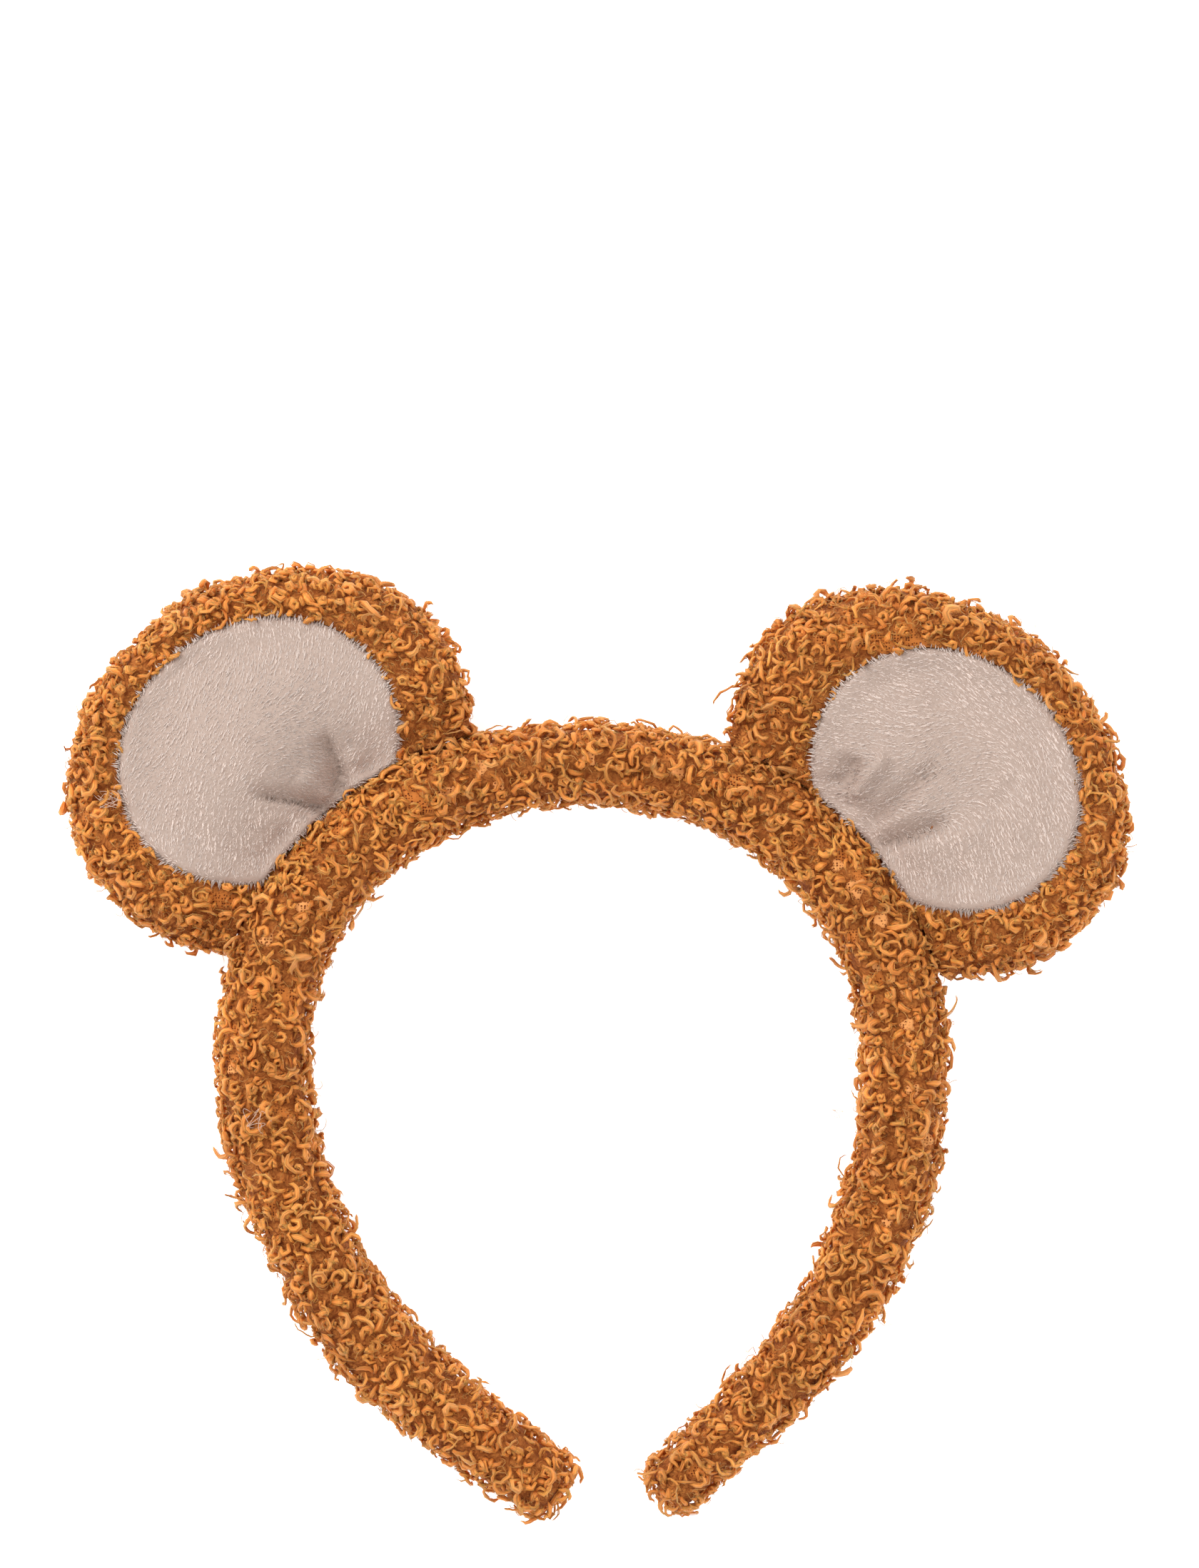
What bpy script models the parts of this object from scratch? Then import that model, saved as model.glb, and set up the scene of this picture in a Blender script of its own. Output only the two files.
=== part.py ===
"""Bear ears headband: a padded plush band, open between its two tips, that carries two
stuffed round ears, each with a back panel, a plush rim and a short-pile inner panel.

It lies on its back. +Z is the side that faces forwards when it is worn, +Y is up over the
head and +X is the right-hand side of that front view. Sizes are in metres, and every
surface stands for the mean height of the pile on it.
"""

import math
from collections import namedtuple

import bmesh
import bpy
import numpy as np

# Band sizes
HEAD_WIDTH = 0.120  # inside the hoop, where it is widest
BAND_THICKNESS = 0.020  # across the hoop, before the shares in BAND_SECTIONS
BAND_DEPTH = 0.026  # front to back at the crown
CROWN_RISE = 0.0639  # centre line of the crown, above the widest level
CROWN_FULLNESS = 2.06  # exponent of the crown's curve, where 2 is an ellipse
LEG_DROP = 0.0920  # centre line of the tips, below the widest level
BAND_ROUNDNESS = 2.3  # exponent of the band's section
TIP_BLUNTNESS = 3.4  # exponent of the rounding over each tip
GROOVE_DEPTH = 0.0022  # of the seam that runs along the band's front
GROOVE_ANGLE = math.radians(105)  # from the outer side of the section towards its front
GROOVE_SPREAD = math.radians(13)
LUMP_HEIGHT = 0.0003  # unevenness of the padding
FLOOR_PRESS = 0.0006  # how far the soft parts press flat where they rest

# Ear sizes
EAR_WIDTH = 0.0940  # along the band
EAR_HEIGHT = 0.0800  # away from the band, counting what the band hides
SEAM_HEIGHT = 0.0125  # of the seam between an ear's back panel and its rim
SEAM_TUCK = 0.0010  # how far that seam pulls in
RIM_RISE = 0.0122  # of the rim's crest above that seam
RIM_INNER_DROP = 0.0022  # from the crest down to the rim's inner edge
RIM_CREST = 0.38  # where the crest lies across the rim's width
PANEL_WIDTH = 0.0630  # of the oval inner panel, along the band
PANEL_HEIGHT = 0.0545  # away from the band, counting what the band hides
PANEL_EDGE_RISE = 0.0092  # of the panel's edge above the seam
PANEL_CROWN_RISE = 0.0128  # of the panel's middle above the seam
PANEL_THICKNESS = 0.0022
PINCH_SHARE = 0.42  # of an ear's thickness that is left where it is sewn to the band
PINCH_REACH = 0.017  # how far from the band the pinch fades out
BACK_ROUNDNESS = 3.0  # exponent of the back's curve towards its edge

# Gaps between neighbouring pieces
SEWN_GAP = 0.0003
CUTTER_REACH = 0.030  # how far the cutter runs inside and above the band

# Mesh density
HALF_STATIONS = 36  # along each half of the band
TIP_STATIONS = 5  # over each tip
SECTION_POINTS = 24  # round the band
SPOKES = 44  # round an ear

PLUSH_COLOUR = (0.50, 0.17, 0.040, 1.0)
VELOUR_COLOUR = (0.62, 0.49, 0.42, 1.0)

Leg = namedtuple("Leg", "drop right left")
LEG_ROUTE = (  # share of LEG_DROP, and how far out the centre line is, as a share of its half width
    Leg(-0.2, 0.985, 0.985),
    Leg(0.0, 1.000, 1.000),
    Leg(0.2, 0.987, 0.972),
    Leg(0.4, 0.913, 0.880),
    Leg(0.6, 0.790, 0.737),
    Leg(0.8, 0.581, 0.500),
    Leg(1.0, 0.310, 0.158),
)

Section = namedtuple("Section", "along thick deep groove")
BAND_SECTIONS = (  # along is -1 at the left tip, 0 at the crown and 1 at the right tip
    Section(-1.00, 0.800, 0.78, 0.1),
    Section(-0.86, 0.930, 0.84, 0.2),
    Section(-0.66, 0.980, 0.92, 0.4),
    Section(-0.49, 1.035, 0.97, 0.5),
    Section(-0.26, 1.000, 1.00, 0.6),
    Section(0.00, 0.900, 1.00, 1.0),
    Section(0.26, 0.930, 1.00, 0.8),
    Section(0.49, 0.955, 0.97, 1.0),
    Section(0.70, 0.925, 0.90, 0.6),
    Section(0.86, 0.800, 0.84, 0.2),
    Section(1.00, 0.710, 0.78, 0.1),
)

# bearing is the direction from the hoop's middle and turn is how far the ear leans off it,
# both in degrees. seat is how far the ear's middle stands off the band, as a share of
# EAR_HEIGHT. panel_up and panel_in move the inner panel from the ear's middle, away from
# the band and towards the crown, as shares of its half width. width, height, panel and
# crown are shares of EAR_WIDTH, EAR_HEIGHT, both panel sizes and PANEL_CROWN_RISE.
Ear = namedtuple("Ear", "name bearing turn seat width height panel panel_up panel_in crown")
EARS = (
    Ear("left", 136.5, -10.8, 0.204, 1.000, 1.000, 1.000, 0.094, -0.017, 1.00),
    Ear("right", 38.7, 10.3, 0.231, 1.013, 0.977, 0.970, 0.088, -0.085, 0.90),
)

# Valleys (negative depth) and ridges of the inner panels. from_up, from_in, to_up and
# to_in are places on the panel as shares of its half width, width is the fold's spread as
# such a share too, and depth is a share of the panel's crown rise. held is 1 where the
# fold starts at the sewn side and fades on its way.
Fold = namedtuple("Fold", "ear from_up from_in to_up to_in width depth held")
FOLDS = (
    Fold("left", -0.66, 0.31, -0.14, 0.45, 0.080, -0.42, 1),
    Fold("left", -0.70, 0.15, -0.23, -0.23, 0.085, -0.30, 1),
    Fold("left", -0.48, 0.25, -0.20, 0.14, 0.130, 0.16, 0),
    Fold("left", -0.58, 0.53, -0.19, 0.64, 0.120, 0.12, 1),
    Fold("left", -0.65, -0.27, -0.40, -0.31, 0.090, -0.16, 1),
    Fold("right", -0.63, 0.49, -0.30, 0.64, 0.110, -0.34, 1),
    Fold("right", -0.66, 0.35, -0.03, 0.38, 0.095, 0.26, 1),
    Fold("right", -0.65, 0.17, 0.09, 0.10, 0.105, -0.34, 1),
    Fold("right", -0.72, 0.06, -0.22, -0.28, 0.080, -0.36, 1),
    Fold("right", -0.76, -0.12, -0.07, -0.53, 0.120, 0.22, 1),
    Fold("right", 0.18, 0.49, 0.47, 0.40, 0.150, -0.26, 0),
    Fold("right", 0.27, -0.16, -0.02, -0.31, 0.130, -0.16, 0),
    Fold("right", -0.69, -0.51, -0.41, -0.76, 0.090, -0.16, 1),
)

# Rows across the pieces of an ear, as shares
RIM_ROWS = (0.0, 0.2, 0.38, 0.6, 0.8, 0.93, 0.985, 1.0)
PANEL_ROWS = (0.18, 0.34, 0.48, 0.62, 0.74, 0.84, 0.93, 1.0)
BACK_ROWS = (0.22, 0.42, 0.6, 0.74, 0.84, 0.92, 0.97, 1.0)


def column(rows, name):
    """One named column of a table, as an array."""
    return np.array([getattr(row, name) for row in rows], float)


def smooth(at, xs, ys):
    """A smooth curve through the points (xs, ys): cubic pieces whose end slopes agree."""
    slope = np.gradient(ys, xs)
    k = np.clip(np.searchsorted(xs, at, side="right") - 1, 0, len(xs) - 2)
    step = xs[k + 1] - xs[k]
    t = (at - xs[k]) / step
    return (
        (2 * t**3 - 3 * t**2 + 1) * ys[k]
        + (t**3 - 2 * t**2 + t) * step * slope[k]
        + (3 * t**2 - 2 * t**3) * ys[k + 1]
        + (t**3 - t**2) * step * slope[k + 1]
    )


def rounded(angle, exponent):
    """The point at that angle of a unit circle squared off by the exponent."""
    c, s = np.cos(angle), np.sin(angle)
    power = 2 / exponent
    return np.sign(c) * np.abs(c) ** power, np.sign(s) * np.abs(s) ** power


def ease(t):
    """0 to 1 with level ends."""
    t = np.clip(t, 0, 1)
    return t * t * (3 - 2 * t)


# The band's centre line, in the plane that the hoop lies in


def leg_points(side, shares):
    """Points down one leg: across comes from LEG_ROUTE, down is a share of LEG_DROP."""
    drop = column(LEG_ROUTE, "drop")
    out = smooth(shares, drop, column(LEG_ROUTE, side))
    half_width = (HEAD_WIDTH + BAND_THICKNESS) / 2
    sign = 1 if side == "right" else -1
    return np.stack([sign * half_width * out, -LEG_DROP * shares], 1)


def half_route(side):
    """The centre line from the crown to one tip, as close points."""
    half_width = (HEAD_WIDTH + BAND_THICKNESS) / 2
    sign = 1 if side == "right" else -1
    across, up = rounded(np.linspace(math.pi / 2, 0.06, 120), CROWN_FULLNESS)
    crown = np.stack([sign * half_width * across, CROWN_RISE * up], 1)
    return np.concatenate([crown, leg_points(side, np.linspace(0.02, 1, 100))])


def evenly(points, shares):
    """The points of a line at those shares of its length."""
    length = np.concatenate([[0], np.cumsum(np.linalg.norm(np.diff(points, axis=0), axis=1))])
    at = np.asarray(shares) * length[-1]
    return np.stack([np.interp(at, length, points[:, k]) for k in (0, 1)], 1)


def band_line(half_stations):
    """(place along the band, points, tangents, outward directions), from tip to tip."""
    shares = np.linspace(0, 1, half_stations + 1)
    left = evenly(half_route("left"), shares)[::-1]
    right = evenly(half_route("right"), shares)[1:]
    points = np.concatenate([left, right])
    along = np.concatenate([-shares[::-1], shares[1:]])
    tangent = np.gradient(points, axis=0)
    tangent /= np.linalg.norm(tangent, axis=1)[:, None]
    outward = np.stack([-tangent[:, 1], tangent[:, 0]], 1)
    return along, points, tangent, outward


def section_sizes(along):
    """(half thickness, half depth, groove depth) of the band at those places."""
    at = column(BAND_SECTIONS, "along")
    thick = smooth(along, at, column(BAND_SECTIONS, "thick")) * BAND_THICKNESS / 2
    deep = smooth(along, at, column(BAND_SECTIONS, "deep")) * BAND_DEPTH / 2
    groove = smooth(along, at, column(BAND_SECTIONS, "groove")) * GROOVE_DEPTH
    return thick, deep, groove


def lumps(along, angle):
    """Slow unevenness of the padding: two waves that run along and round the band."""
    return 0.6 * np.sin(31 * along + 2 * angle) + 0.4 * np.sin(53 * along - 3 * angle + 1.7)


# Meshes


def add_object(name, vertices, faces, colour=None, roughness=0.9, angle=50):
    """An object made of these vertices and faces, with its normals pointing out."""
    mesh = bpy.data.meshes.new(name)
    mesh.from_pydata(np.asarray(vertices, float).tolist(), [], faces)
    form = bmesh.new()
    form.from_mesh(mesh)
    bmesh.ops.recalc_face_normals(form, faces=form.faces)
    form.to_mesh(mesh)
    form.free()
    mesh.shade_smooth()
    mesh.set_sharp_from_angle(angle=math.radians(angle))
    item = bpy.data.objects.new(name, mesh)
    bpy.context.scene.collection.objects.link(item)
    if colour:
        material = bpy.data.materials.new(name)
        material.use_nodes = True
        shader = material.node_tree.nodes["Principled BSDF"]
        shader.inputs["Base Color"].default_value = colour
        shader.inputs["Roughness"].default_value = roughness
        shader.inputs["Metallic"].default_value = 0.0
        mesh.materials.append(material)
    return item


def ring_faces(rows, columns, closed):
    """Triangles between the rows of a grid whose columns go round; closed joins last to first."""
    r, c = np.meshgrid(np.arange(rows if closed else rows - 1), np.arange(columns), indexing="ij")
    below, beside = (r + 1) % rows, (c + 1) % columns
    here, down = r * columns + c, below * columns + c
    across, over = below * columns + beside, r * columns + beside
    halves = [(here, down, across), (here, across, over)]
    return np.concatenate([np.stack([k.ravel() for k in half], 1) for half in halves]).tolist()


def tube(name, rings, **finish):
    """A solid through rings of points, (ring, point, xyz), with a flat cap at each end."""
    rows, columns = rings.shape[:2]
    faces = ring_faces(rows, columns, closed=False)
    faces += [list(range(columns)), list(range((rows - 1) * columns, rows * columns))]
    return add_object(name, rings.reshape(-1, 3), faces, **finish)


def lie_on(points, outward, offsets, heights):
    """World points of sections: offsets run along outward, and heights straight up."""
    flat = points[:, None, :] + outward[:, None, :] * offsets[..., None]
    return np.concatenate([flat, heights[..., None]], 2)


def build_band():
    """The padded band: a rounded section with a seam groove, swept from tip to tip."""
    along, points, tangent, outward = band_line(HALF_STATIONS)
    over = np.sin(np.linspace(0, math.pi / 2, TIP_STATIONS + 1))[1:] * 0.985
    for end, sign in ((0, -1), (-1, 1)):
        # Stations over the tip: each steps out along the band and its section shrinks.
        reach = section_sizes(along[end])[0] * over[:, None] * sign
        extra = points[end] + tangent[end] * reach
        more = [np.repeat(a[end][None], len(over), 0) for a in (along, outward)]
        if sign < 0:
            points = np.concatenate([extra[::-1], points])
            along, outward = (
                np.concatenate([m, a]) for m, a in zip(more, (along, outward))
            )
        else:
            points = np.concatenate([points, extra])
            along, outward = (
                np.concatenate([a, m]) for m, a in zip(more, (along, outward))
            )
    shrink = np.ones(len(along))
    shrink[-len(over) :] = (1 - over**TIP_BLUNTNESS) ** (1 / TIP_BLUNTNESS)
    shrink[: len(over)] = shrink[-len(over) :][::-1]
    thick, deep, groove = section_sizes(along)
    angle = np.linspace(0, 2 * math.pi, SECTION_POINTS, endpoint=False)[None, :]
    valley = groove[:, None] * np.exp(-(((angle - GROOVE_ANGLE) / GROOVE_SPREAD) ** 2))
    swell = LUMP_HEIGHT * lumps(along[:, None], angle) - valley
    c, s = rounded(angle, BAND_ROUNDNESS)
    offsets = c * (thick[:, None] + swell) * shrink[:, None]
    heights = s * (deep[:, None] + swell) * shrink[:, None] + deep[:, None] - FLOOR_PRESS
    rings = lie_on(points, outward, offsets, np.maximum(heights, 0))
    return tube("band", rings, colour=PLUSH_COLOUR, roughness=0.9)


def build_band_cutter():
    """What the band keeps clear of an ear: its outer half with the sewn gap, filled inwards."""
    along, points, _, outward = band_line(HALF_STATIONS * 2)
    keep = points[:, 1] > -0.2 * LEG_DROP
    along, points, outward = along[keep], points[keep], outward[keep]
    thick, deep, _ = section_sizes(along)
    angle = np.linspace(-math.pi / 2, math.pi / 2, 17)[None, :]
    c, s = rounded(angle, BAND_ROUNDNESS)
    grow = SEWN_GAP + LUMP_HEIGHT
    offsets = c * (thick[:, None] + grow)
    heights = s * (deep[:, None] + grow) + deep[:, None] - FLOOR_PRESS
    low, high = -CUTTER_REACH, BAND_DEPTH + CUTTER_REACH
    inner = -(thick + CUTTER_REACH)[:, None]
    middle = np.zeros_like(inner)
    offsets = np.concatenate([inner, middle, offsets, middle, inner], 1)
    level = np.ones_like(inner)
    heights = np.concatenate([low * level, low * level, heights, high * level, high * level], 1)
    cutter = tube("band_cutter", lie_on(points, outward, offsets, heights))
    cutter.hide_render = True
    cutter.display_type = "WIRE"
    return cutter


# Ears


class EarShape:
    """Places and heights of one ear, worked out round the middle of its inner panel."""

    def __init__(self, ear):
        self.ear = ear
        bearing = math.radians(ear.bearing)
        away = np.array([math.cos(bearing), math.sin(bearing)])
        along, self.line, _, _ = band_line(HALF_STATIONS * 2)
        self.thick = section_sizes(along)[0]
        nearest = np.argmax((self.line / np.linalg.norm(self.line, axis=1)[:, None]) @ away)
        stand_off = self.thick[nearest] + EAR_HEIGHT * ear.seat
        middle = away * (np.linalg.norm(self.line[nearest]) + stand_off)
        lean = math.radians(ear.bearing + ear.turn)
        self.up = np.array([math.cos(lean), math.sin(lean)])
        crown_side = -1 if ear.name == "right" else 1
        self.inward = crown_side * np.array([self.up[1], -self.up[0]])
        self.unit = PANEL_WIDTH * ear.panel / 2
        self.shift = np.array([ear.panel_up, ear.panel_in]) * self.unit
        self.pole = middle + self.shift[0] * self.up + self.shift[1] * self.inward
        self.spokes = np.linspace(0, 2 * math.pi, SPOKES, endpoint=False)
        squash = PANEL_WIDTH / PANEL_HEIGHT
        self.panel = self.unit / np.hypot(squash * np.cos(self.spokes), np.sin(self.spokes))
        self.edge = self.edge_radius()

    def edge_radius(self):
        """How far the ear's elliptical outline is from the pole, along each spoke."""
        half = np.array([EAR_HEIGHT * self.ear.height, EAR_WIDTH * self.ear.width]) / 2
        ray = np.stack([np.cos(self.spokes), np.sin(self.spokes)], 1) / half
        start = self.shift / half
        a, b, c = (ray**2).sum(1), ray @ start, start @ start - 1
        wave = 1 + 0.008 * np.sin(5 * self.spokes + 0.7) + 0.006 * np.sin(9 * self.spokes)
        return (-b + np.sqrt(b * b - a * c)) / a * wave

    def place(self, radius):
        """World X and Y at that distance from the pole along each spoke."""
        up, inward = radius * np.cos(self.spokes), radius * np.sin(self.spokes)
        return self.pole + up[:, None] * self.up + inward[:, None] * self.inward

    def pinch(self, places):
        """The share of the ear's thickness left there: least where the band holds it."""
        apart = np.linalg.norm(places[:, None, :] - self.line[None], axis=2)
        clear = (apart - self.thick[None]).min(1)
        inside = np.linalg.norm(places, axis=1) < np.linalg.norm(self.line[apart.argmin(1)], axis=1)
        return PINCH_SHARE + (1 - PINCH_SHARE) * ease(np.where(inside, 0, clear) / PINCH_REACH)

    def folds(self, places):
        """Height that the folds add, as a share of the panel's crown rise."""
        offset = (places - self.pole) / self.unit
        spot = np.stack([offset @ self.up, offset @ self.inward], 1)
        total = np.zeros(len(spot))
        for fold in (f for f in FOLDS if f.ear == self.ear.name):
            start = np.array([fold.from_up, fold.from_in])
            run = np.array([fold.to_up, fold.to_in]) - start
            t = np.clip((spot - start) @ run / (run @ run), -0.6, 1)
            off = np.linalg.norm(spot - start - t[:, None] * run, axis=1)
            width = fold.width * (1 + 0.7 * np.clip(t, 0, 1))
            fade = 1 - 0.75 * ease(t) if fold.held else np.ones(len(t))
            total += fold.depth * fade * np.exp(-((off / width) ** 2))
        return total

    def rim_height(self, share):
        """Height of the rim above the seam, at a share of the way out across it."""
        if share < RIM_CREST:
            return RIM_RISE - RIM_INNER_DROP * ((RIM_CREST - share) / RIM_CREST) ** 2
        past = (share - RIM_CREST) / (1 - RIM_CREST)
        return RIM_RISE * math.sqrt(max(1 - past**2.2, 0))

    def panel_height(self, share, places):
        """Height of the panel's front above the seam, folds included, before the pinch."""
        crown = PANEL_CROWN_RISE * self.ear.crown
        dome = PANEL_EDGE_RISE + (crown - PANEL_EDGE_RISE) * (1 - share**2)
        return dome + crown * self.folds(places) * (1 - share**6)

    def points(self, radius, height):
        """World points at that radius, at that height above the ear's seam, pinched."""
        places = self.place(radius)
        level = SEAM_HEIGHT + height * self.pinch(places)
        return np.concatenate([places, np.broadcast_to(level, len(places))[:, None]], 1)


def ear_rim_rows(shape):
    """Rings of the rim: across its front from the panel out, then back under it."""
    inner = shape.panel + SEWN_GAP / 2
    rows = []
    for share in RIM_ROWS:
        height = shape.rim_height(share)
        tuck = SEAM_TUCK * (1 - height / RIM_RISE) ** 4 if share > RIM_CREST else 0
        rows.append(shape.points(inner + (shape.edge - inner) * share - tuck, height + SEWN_GAP))
    for share in (0.6, 0.25, 0.0):
        rows.append(shape.points(inner + (shape.edge - inner) * share, SEWN_GAP))
    return rows


def panel_rows(shape, shares, drop):
    """Rings of the inner panel's surface, or of one that lies under it by the drop."""
    outer = shape.panel - SEWN_GAP / 2
    rows = []
    for share in shares:
        height = shape.panel_height(share, shape.place(outer * share))
        rows.append(shape.points(outer * share, height) - np.array([0, 0, drop]))
    return rows


def ear_panel_rows(shape):
    """Rings of the inner panel: its front from the middle out, then its underside back."""
    front = panel_rows(shape, PANEL_ROWS, 0)
    return front + panel_rows(shape, PANEL_ROWS[::-1], PANEL_THICKNESS)


def ear_back_rows(shape):
    """Rings of the back panel and its stuffing: the back from the middle out to the seam,
    in under the rim, then up and over the dome that fills the inner panel."""
    rows = []
    for share in BACK_ROWS:
        fall = (1 - share**BACK_ROUNDNESS) ** 0.5
        tuck = SEAM_TUCK * (1 - fall) ** 4
        ring = shape.points(shape.edge * share - tuck, -(SEAM_HEIGHT + FLOOR_PRESS) * fall)
        ring[:, 2] = np.maximum(ring[:, 2], 0)
        rows.append(ring)
    wall = shape.panel - SEWN_GAP / 2
    rows.append(shape.points(wall + (shape.edge - wall) * 0.4, 0))
    rows.append(shape.points(wall, 0))
    return rows + panel_rows(shape, PANEL_ROWS[::-1], PANEL_THICKNESS + SEWN_GAP)


def closed_ring(name, rows, **finish):
    """A solid whose rows of points close on themselves, like a bent tyre."""
    return add_object(name, np.concatenate(rows), ring_faces(len(rows), SPOKES, True), **finish)


def closed_dome(name, rows, **finish):
    """A solid whose rows run from one middle point out, over an edge and back to another."""
    count = len(rows) * SPOKES
    ends = [rows[0].mean(0), rows[-1].mean(0)]
    faces = ring_faces(len(rows), SPOKES, closed=False)
    for tip, first in ((count, 0), (count + 1, count - SPOKES)):
        faces += [[tip, first + k, first + (k + 1) % SPOKES] for k in range(SPOKES)]
    return add_object(name, np.concatenate([*rows, ends]), faces, **finish)


def build_ear(ear, cutter):
    """An ear's three pieces, each cut to sit against the band."""
    shape = EarShape(ear)
    plush = {"colour": PLUSH_COLOUR, "roughness": 0.9}
    velour = {"colour": VELOUR_COLOUR, "roughness": 0.8}
    pieces = [
        closed_dome(f"ear_{ear.name}_back", ear_back_rows(shape), **plush),
        closed_ring(f"ear_{ear.name}_rim", ear_rim_rows(shape), **plush),
        closed_dome(f"ear_{ear.name}_inner", ear_panel_rows(shape), **velour),
    ]
    for piece in pieces:
        cut = piece.modifiers.new("band clearance", "BOOLEAN")
        cut.operation = "DIFFERENCE"
        cut.object = cutter
    return pieces


def centre_on_floor(items, helpers):
    """Parents everything to one empty that puts the middle of the whole at the origin."""
    corners = np.concatenate([[v.co[:] for v in item.data.vertices] for item in items])
    low, high = corners.min(0), corners.max(0)
    holder = bpy.data.objects.new("headband", None)
    bpy.context.scene.collection.objects.link(holder)
    holder.location = (-(low[0] + high[0]) / 2, -(low[1] + high[1]) / 2, 0)
    for item in [*items, *helpers]:
        item.parent = holder


def main():
    for item in list(bpy.data.objects):
        bpy.data.objects.remove(item)
    cutter = build_band_cutter()
    items = [build_band()]
    for ear in EARS:
        items += build_ear(ear, cutter)
    centre_on_floor(items, [cutter])


main()
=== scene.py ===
"""The looks of a bear ears headband: curly plush locks over a matted ground, and brushed
short-pile panels with sewn folds inside the ears. Lengths are in metres."""

import math
from collections import namedtuple

import bpy
import numpy as np
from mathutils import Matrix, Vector
from mathutils.bvhtree import BVHTree
from mathutils.kdtree import KDTree


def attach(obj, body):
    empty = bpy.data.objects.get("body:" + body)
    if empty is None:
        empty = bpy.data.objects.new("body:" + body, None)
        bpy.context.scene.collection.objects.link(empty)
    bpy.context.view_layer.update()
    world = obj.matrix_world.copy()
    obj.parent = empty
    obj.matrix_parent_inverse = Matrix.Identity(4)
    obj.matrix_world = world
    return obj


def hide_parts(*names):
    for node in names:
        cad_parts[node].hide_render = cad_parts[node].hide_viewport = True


MM = 0.001
PLUSH_NODES = (
    "band",
    "ear_left_back",
    "ear_left_rim",
    "ear_right_back",
    "ear_right_rim",
)
PANEL_NODES = ("ear_left_inner", "ear_right_inner")
PILE = 1.7 * MM  # from the matted ground up to the mean height of the curls
FLOOR_CLEARANCE = 0.05 * MM
ABOVE_ALL = 0.1  # a height that every part is under
SEWN_REACH = 3 * MM  # how far from a seam to a neighbour the pile is held down
GROOVE_REACH = 1.6 * MM
NET_MESH = 0.6 * MM
LOCKS_IN_A_PIECE = 2100
LOOSE_FIBRES = 5600
NAP_SPIKES = 16000
TUFT_SPACING = 1.7 * MM
PANEL_DEPTH = 1.8 * MM

# How the locks of a plush piece stand: the spacing between their roots in millimetres, their
# size as a share of the usual one, the share of them that lie flat and curl in the skin's
# own plane, the share that are loose waves, and the share that stray out of the pile.
Growth = namedtuple("Growth", "node spacing size flat loose stray seed")
GROWTHS = (
    Growth("band", 1.68, 0.95, 0.6, 0.5, 0.04, 11),
    Growth("ear_left_back", 2.0, 1.04, 0.6, 0.15, 0.04, 23),
    Growth("ear_left_rim", 1.7, 0.98, 0.55, 0.3, 0.05, 31),
    Growth("ear_right_back", 2.0, 1.04, 0.6, 0.2, 0.05, 47),
    Growth("ear_right_rim", 1.7, 0.96, 0.5, 0.4, 0.08, 59),
)
LOCK_STATIONS = 7
LOCK_SIDES = 4
STRANDS = 1

# The folds of the inner panels where the ears are drawn in at the band. Each runs through
# three places (x, y in millimetres). left and right are how far it is felt to either side
# of its run, and rise is its height above the panel, negative for a valley: each row is
# start, middle, end, left, right, rise.
CREASES = {
    "ear_left_inner": (
        ((-59.5, 68.6), (-56.4, 61.6), (-54.5, 53.8), 0.8, 2.8, -2.8),
        ((-53.0, 65.5), (-52.5, 59.2), (-52.6, 53.8), 2.2, 2.0, 1.0),
        ((-75.7, 54.2), (-65.6, 52.8), (-56.4, 49.9), 2.2, 0.8, -2.4),
        ((-74.1, 49.5), (-66.4, 48.3), (-59.3, 47.2), 1.4, 3.0, 0.7),
        ((-64.8, 59.2), (-60.9, 56.1), (-58.2, 53.0), 2.6, 2.6, 1.7),
        ((-96.0, 76.0), (-89.3, 82.4), (-82.3, 88.8), 0.8, 0.8, -0.5),
    ),
    "ear_right_inner": (
        ((57.0, 62.8), (55.4, 58.9), (53.9, 54.6), 1.2, 3.2, -2.3),
        ((53.9, 52.7), (58.2, 58.5), (63.6, 64.0), 2.2, 2.4, 2.4),
        ((58.3, 47.2), (66.0, 53.5), (74.5, 61.3), 2.8, 1.4, -2.1),
        ((62.8, 48.0), (68.3, 51.5), (73.0, 53.5), 2.0, 2.0, 0.5),
        ((60.1, 42.9), (68.3, 45.4), (77.2, 49.0), 2.4, 1.0, -2.6),
        ((63.6, 40.2), (73.7, 44.0), (86.2, 46.8), 1.8, 4.0, 0.9),
        ((85.4, 50.3), (88.2, 54.2), (90.9, 58.9), 2.2, 2.2, -0.6),
        ((71.4, 72.9), (74.5, 75.3), (76.9, 77.2), 3.0, 2.4, -0.6),
        ((72.2, 33.6), (76.9, 35.5), (80.4, 38.3), 2.2, 2.2, -0.5),
        ((48.8, 65.2), (50.4, 61.3), (51.1, 58.1), 3.0, 3.0, 0.5),
    ),
}

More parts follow.
